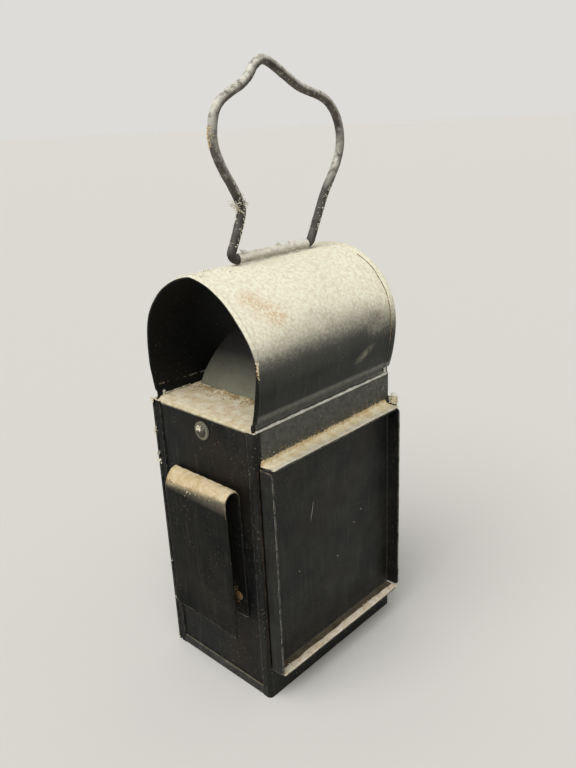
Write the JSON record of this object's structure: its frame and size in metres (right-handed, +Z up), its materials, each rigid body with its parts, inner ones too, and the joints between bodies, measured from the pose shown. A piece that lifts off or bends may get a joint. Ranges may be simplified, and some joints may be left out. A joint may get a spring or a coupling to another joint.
{
  "type": "railway lamp",
  "caption": "Small oil hand lamp in black tinplate with a barrel hood, wire bail, side door, back socket, window and wick burner.",
  "frame": {"origin": "centre of the base, on the surface the lamp stands on", "axes": "+Z up, -Y the narrow back that carries the socket, +Y the narrow front with the window, +X the wide side with the door"},
  "size_m": [0.0865, 0.1216, 0.3118],
  "materials": {
    "japanned_tin": "black japan, satin, dusty and worn",
    "worn_tin": "japan worn to dull tin, dusty",
    "bare_tin": "dull grey tinplate",
    "bright_tin": "polished tinplate, tarnished",
    "rusty_wire": "iron wire with thin brown rust",
    "brass": "dull brass",
    "window_glass": "clear drawn glass",
    "wick_cotton": "woven flat cotton wick"
  },
  "bodies": {
    "case": {"side_left": "japanned_tin", "side_right": "japanned_tin", "back_plate": "japanned_tin", "front_plate": "japanned_tin", "base_tray": "japanned_tin", "hood": "japanned_tin", "inner_cowl": "bare_tin", "handle_sleeve": "worn_tin", "socket_strap": "japanned_tin", "strap_rivets": "rusty_wire", "top_rivet": "worn_tin", "rivet_washer": "worn_tin", "reflector": "bright_tin", "case_hinge_leaf": "worn_tin", "hinge_pin": "rusty_wire", "window_glass": "window_glass", "glass_channel": "bare_tin", "fount": "bare_tin", "fount_guides": "bare_tin", "filler_collar": "brass", "burner": "brass", "wick_tube": "brass"},
    "bail": {"bail": "rusty_wire"},
    "door": {"door_tray": "japanned_tin", "door_hinge_leaf": "worn_tin", "door_spring": "bare_tin"},
    "winder": {"winder_spindle": "brass", "spur_wheels": "brass", "winder_knob": "brass"},
    "wick": {"wick": "wick_cotton"}
  },
  "joints": [
    {"name": "bail_swing", "type": "hinge", "parent": "case", "child": "bail", "pos_m": [0, 0.0044, 0.2201], "axis": [0, 1, 0], "range_deg": [-95, 95]},
    {"name": "door_swing", "type": "hinge", "parent": "case", "child": "door", "pos_m": [0.0402, 0.0511, 0.08], "axis": [0, 0, 1], "range_deg": [0, 175]},
    {"name": "winder_turn", "type": "hinge", "parent": "case", "child": "winder", "pos_m": [0, -0.00545, 0.0482], "axis": [1, 0, 0], "range_deg": [-54, 108]},
    {"name": "wick_raise", "type": "slide", "parent": "case", "child": "wick", "axis": [0, 0, 1], "range_m": [-0.004, 0.008]}
  ],
  "couplings": [
    {"joint": "wick_raise", "follows": "winder_turn", "m_per_rad": 0.0042}
  ]
}
